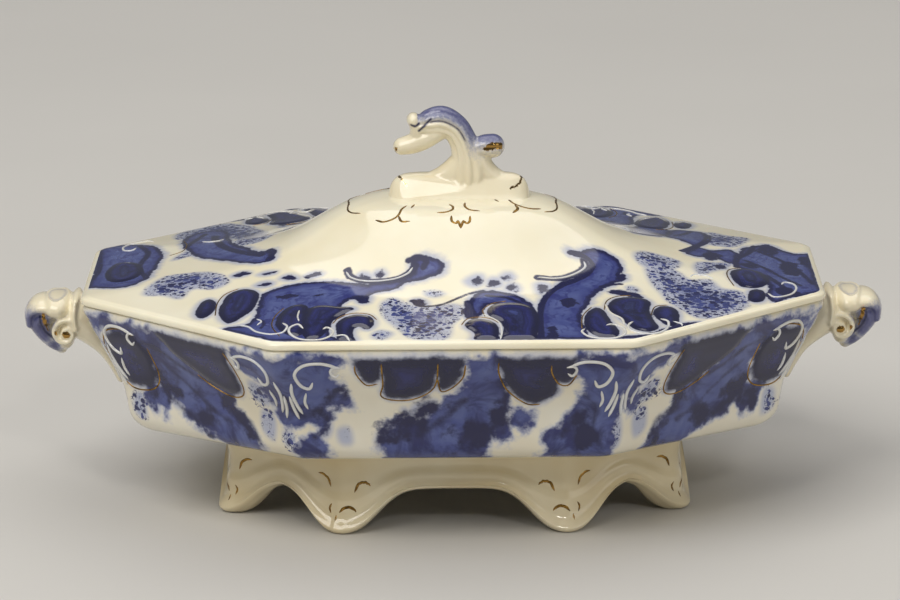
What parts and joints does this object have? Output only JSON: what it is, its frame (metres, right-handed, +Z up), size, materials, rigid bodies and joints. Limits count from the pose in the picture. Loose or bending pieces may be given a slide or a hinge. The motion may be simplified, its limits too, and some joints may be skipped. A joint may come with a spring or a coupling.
{
  "type": "covered vegetable dish",
  "caption": "Eight-sided glazed dish on an arched lobed foot, with scroll lug handles and a loose domed lid under a scroll finial.",
  "frame": {"origin": "middle of the footprint, on the surface that the foot stands on", "axes": "+X towards the right handle along the dish's length, -Y towards the front, +Z up"},
  "size_m": [0.3184, 0.202, 0.1445],
  "materials": {
    "printed_bowl_glaze": "cream-white glaze over cobalt transfer print",
    "printed_lid_glaze": "cream-white glaze over cobalt transfer print",
    "cream_glaze": "plain cream-white gloss glaze",
    "gilt": "thin burnished gilding on the glaze"
  },
  "bodies": {
    "dish": {"bowl": "printed_bowl_glaze", "foot": "cream_glaze", "handle_left": "cream_glaze", "handle_right": "cream_glaze"},
    "cover": {"lid": "printed_lid_glaze", "finial": "cream_glaze"}
  },
  "joints": [
    {"name": "lid_lift", "type": "slide", "parent": "dish", "child": "cover", "axis": [0, 0, 1], "range_m": [0, 0.12]}
  ]
}
